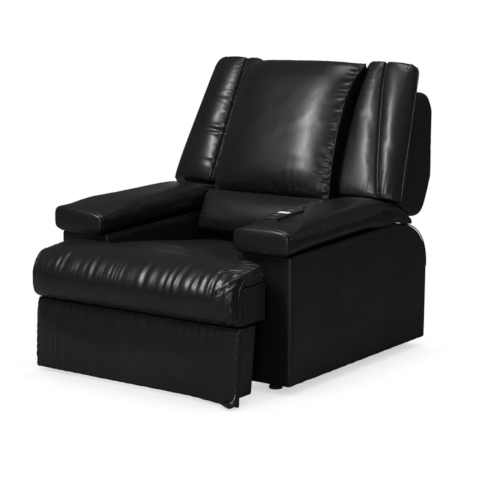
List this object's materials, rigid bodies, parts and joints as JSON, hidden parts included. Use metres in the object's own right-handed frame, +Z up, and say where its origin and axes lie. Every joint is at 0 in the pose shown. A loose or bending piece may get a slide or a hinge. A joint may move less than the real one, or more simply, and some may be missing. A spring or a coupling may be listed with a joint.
{
  "type": "cinema recliner seat",
  "caption": "Upholstered power recliner seat with slab arms, a sliding seat, a scissor-link footrest and a raked back with a centre pillow between two channelled wings.",
  "frame": {"origin": "middle of the footprint on the floor, under the seat, as pictured", "axes": "+Z up, +Y from the footrest towards the back, +X to the right seen from the front"},
  "size_m": [0.9794, 1.224, 1.0223],
  "materials": {
    "leather": "glossy black upholstery leather, pulled over panels",
    "leather_soft": "glossy black upholstery leather, padded and gathered",
    "timber": "planed softwood and plywood",
    "steel": "black powder-coated steel",
    "zinc": "zinc-plated steel",
    "plastic": "black moulded plastic",
    "nylon": "natural nylon",
    "handset_plastic": "satin black moulded case",
    "plate_white": "bare white inset plate",
    "key_rubber": "soft grey keypad rubber",
    "lead_rubber": "black flexible lead"
  },
  "bodies": {
    "base": {"arm_box_left": "leather", "arm_box_right": "leather", "arm_frame_left": "timber", "arm_frame_right": "timber", "arm_base_boards": "timber", "arm_pad_left": "leather_soft", "arm_pad_right": "leather_soft", "floor_glides": "plastic", "base_rail_left": "steel", "base_rail_right": "steel", "base_cross_front": "steel", "base_cross_rear": "steel", "back_brackets": "steel", "control_box": "plastic", "recline_actuator": "plastic", "recline_motor": "steel", "cord_grommet": "plastic", "handset_cord": "lead_rubber"},
    "seat": {"seat_plate_left": "steel", "seat_plate_right": "steel", "glide_shoes": "nylon", "front_block": "leather", "seat_rail_left": "timber", "seat_rail_right": "timber", "seat_rail_rear": "timber", "seat_springs": "zinc", "seat_cushion": "leather_soft", "chaise_roll": "leather_soft", "seat_cross_tube": "steel", "lift_actuator": "plastic", "lift_motor": "steel", "seat_pins": "zinc"},
    "lift_arms": {"lift_link_left": "zinc", "lift_link_right": "zinc", "lift_tube": "steel", "lift_pins": "zinc"},
    "cross_arms": {"cross_link_left": "zinc", "cross_link_right": "zinc", "cross_pins": "zinc"},
    "toe_arms": {"toe_links": "zinc"},
    "footrest": {"rest_brackets": "steel", "rest_board": "leather", "rest_pad": "leather_soft", "rest_pins": "zinc"},
    "lift_rod": {"lift_rod": "zinc"},
    "recline_rod": {"recline_rod": "zinc"},
    "back": {"back_stile_left": "steel", "back_stile_right": "steel", "back_board": "leather", "back_shell": "leather", "wing_left": "leather_soft", "wing_right": "leather_soft", "back_pillow": "leather_soft", "lumbar_cushion": "leather_soft", "back_tube": "steel"},
    "handset": {"handset_case": "handset_plastic", "handset_plate": "plate_white"},
    "key_lift": {"key_lift": "key_rubber"},
    "key_recline": {"key_recline": "key_rubber"}
  },
  "joints": [
    {"name": "seat_glide", "type": "slide", "parent": "base", "child": "seat", "axis": [0, -1, 0], "range_m": [-0.055, 0.03]},
    {"name": "footrest_lift", "type": "hinge", "parent": "seat", "child": "lift_arms", "pos_m": [0, -0.454, 0.225], "axis": [-1, 0, 0], "range_deg": [-4, 64]},
    {"name": "cross_pivot", "type": "hinge", "parent": "lift_arms", "child": "cross_arms", "pos_m": [0, -0.47577, 0.13767], "axis": [1, 0, 0], "range_deg": [-8.1, 128.1]},
    {"name": "toe_pivot", "type": "hinge", "parent": "lift_arms", "child": "toe_arms", "pos_m": [0, -0.49755, 0.05035], "axis": [1, 0, 0], "range_deg": [-8.1, 128.1]},
    {"name": "rest_pivot", "type": "hinge", "parent": "cross_arms", "child": "footrest", "pos_m": [0, -0.49755, 0.225], "axis": [-1, 0, 0], "range_deg": [-8.1, 128.1]},
    {"name": "lift_drive", "type": "slide", "parent": "seat", "child": "lift_rod", "axis": [0, -1, 0], "range_m": [-0.0048, 0.0746]},
    {"name": "back_recline", "type": "hinge", "parent": "base", "child": "back", "pos_m": [0, 0.223, 0.3], "axis": [-1, 0, 0], "range_deg": [-6, 20]},
    {"name": "recline_drive", "type": "slide", "parent": "base", "child": "recline_rod", "axis": [0, -1, 0], "range_m": [-0.0158, 0.0521]},
    {"name": "handset_lift", "type": "slide", "parent": "base", "child": "handset", "axis": [0, 0, 1], "range_m": [0, 0.06]},
    {"name": "key_lift_press", "type": "slide", "parent": "handset", "child": "key_lift", "axis": [0, 0, -1], "range_m": [0, 0.001], "stiffness_N_per_m": 300},
    {"name": "key_recline_press", "type": "slide", "parent": "handset", "child": "key_recline", "axis": [0, 0, -1], "range_m": [0, 0.001], "stiffness_N_per_m": 300}
  ],
  "couplings": [
    {"joint": "cross_pivot", "follows": "footrest_lift", "ratio": 2},
    {"joint": "toe_pivot", "follows": "footrest_lift", "ratio": 2},
    {"joint": "rest_pivot", "follows": "footrest_lift", "ratio": 2},
    {"joint": "lift_drive", "follows": "footrest_lift", "m_per_rad": 0.0666},
    {"joint": "recline_drive", "follows": "back_recline", "m_per_rad": 0.14871}
  ]
}
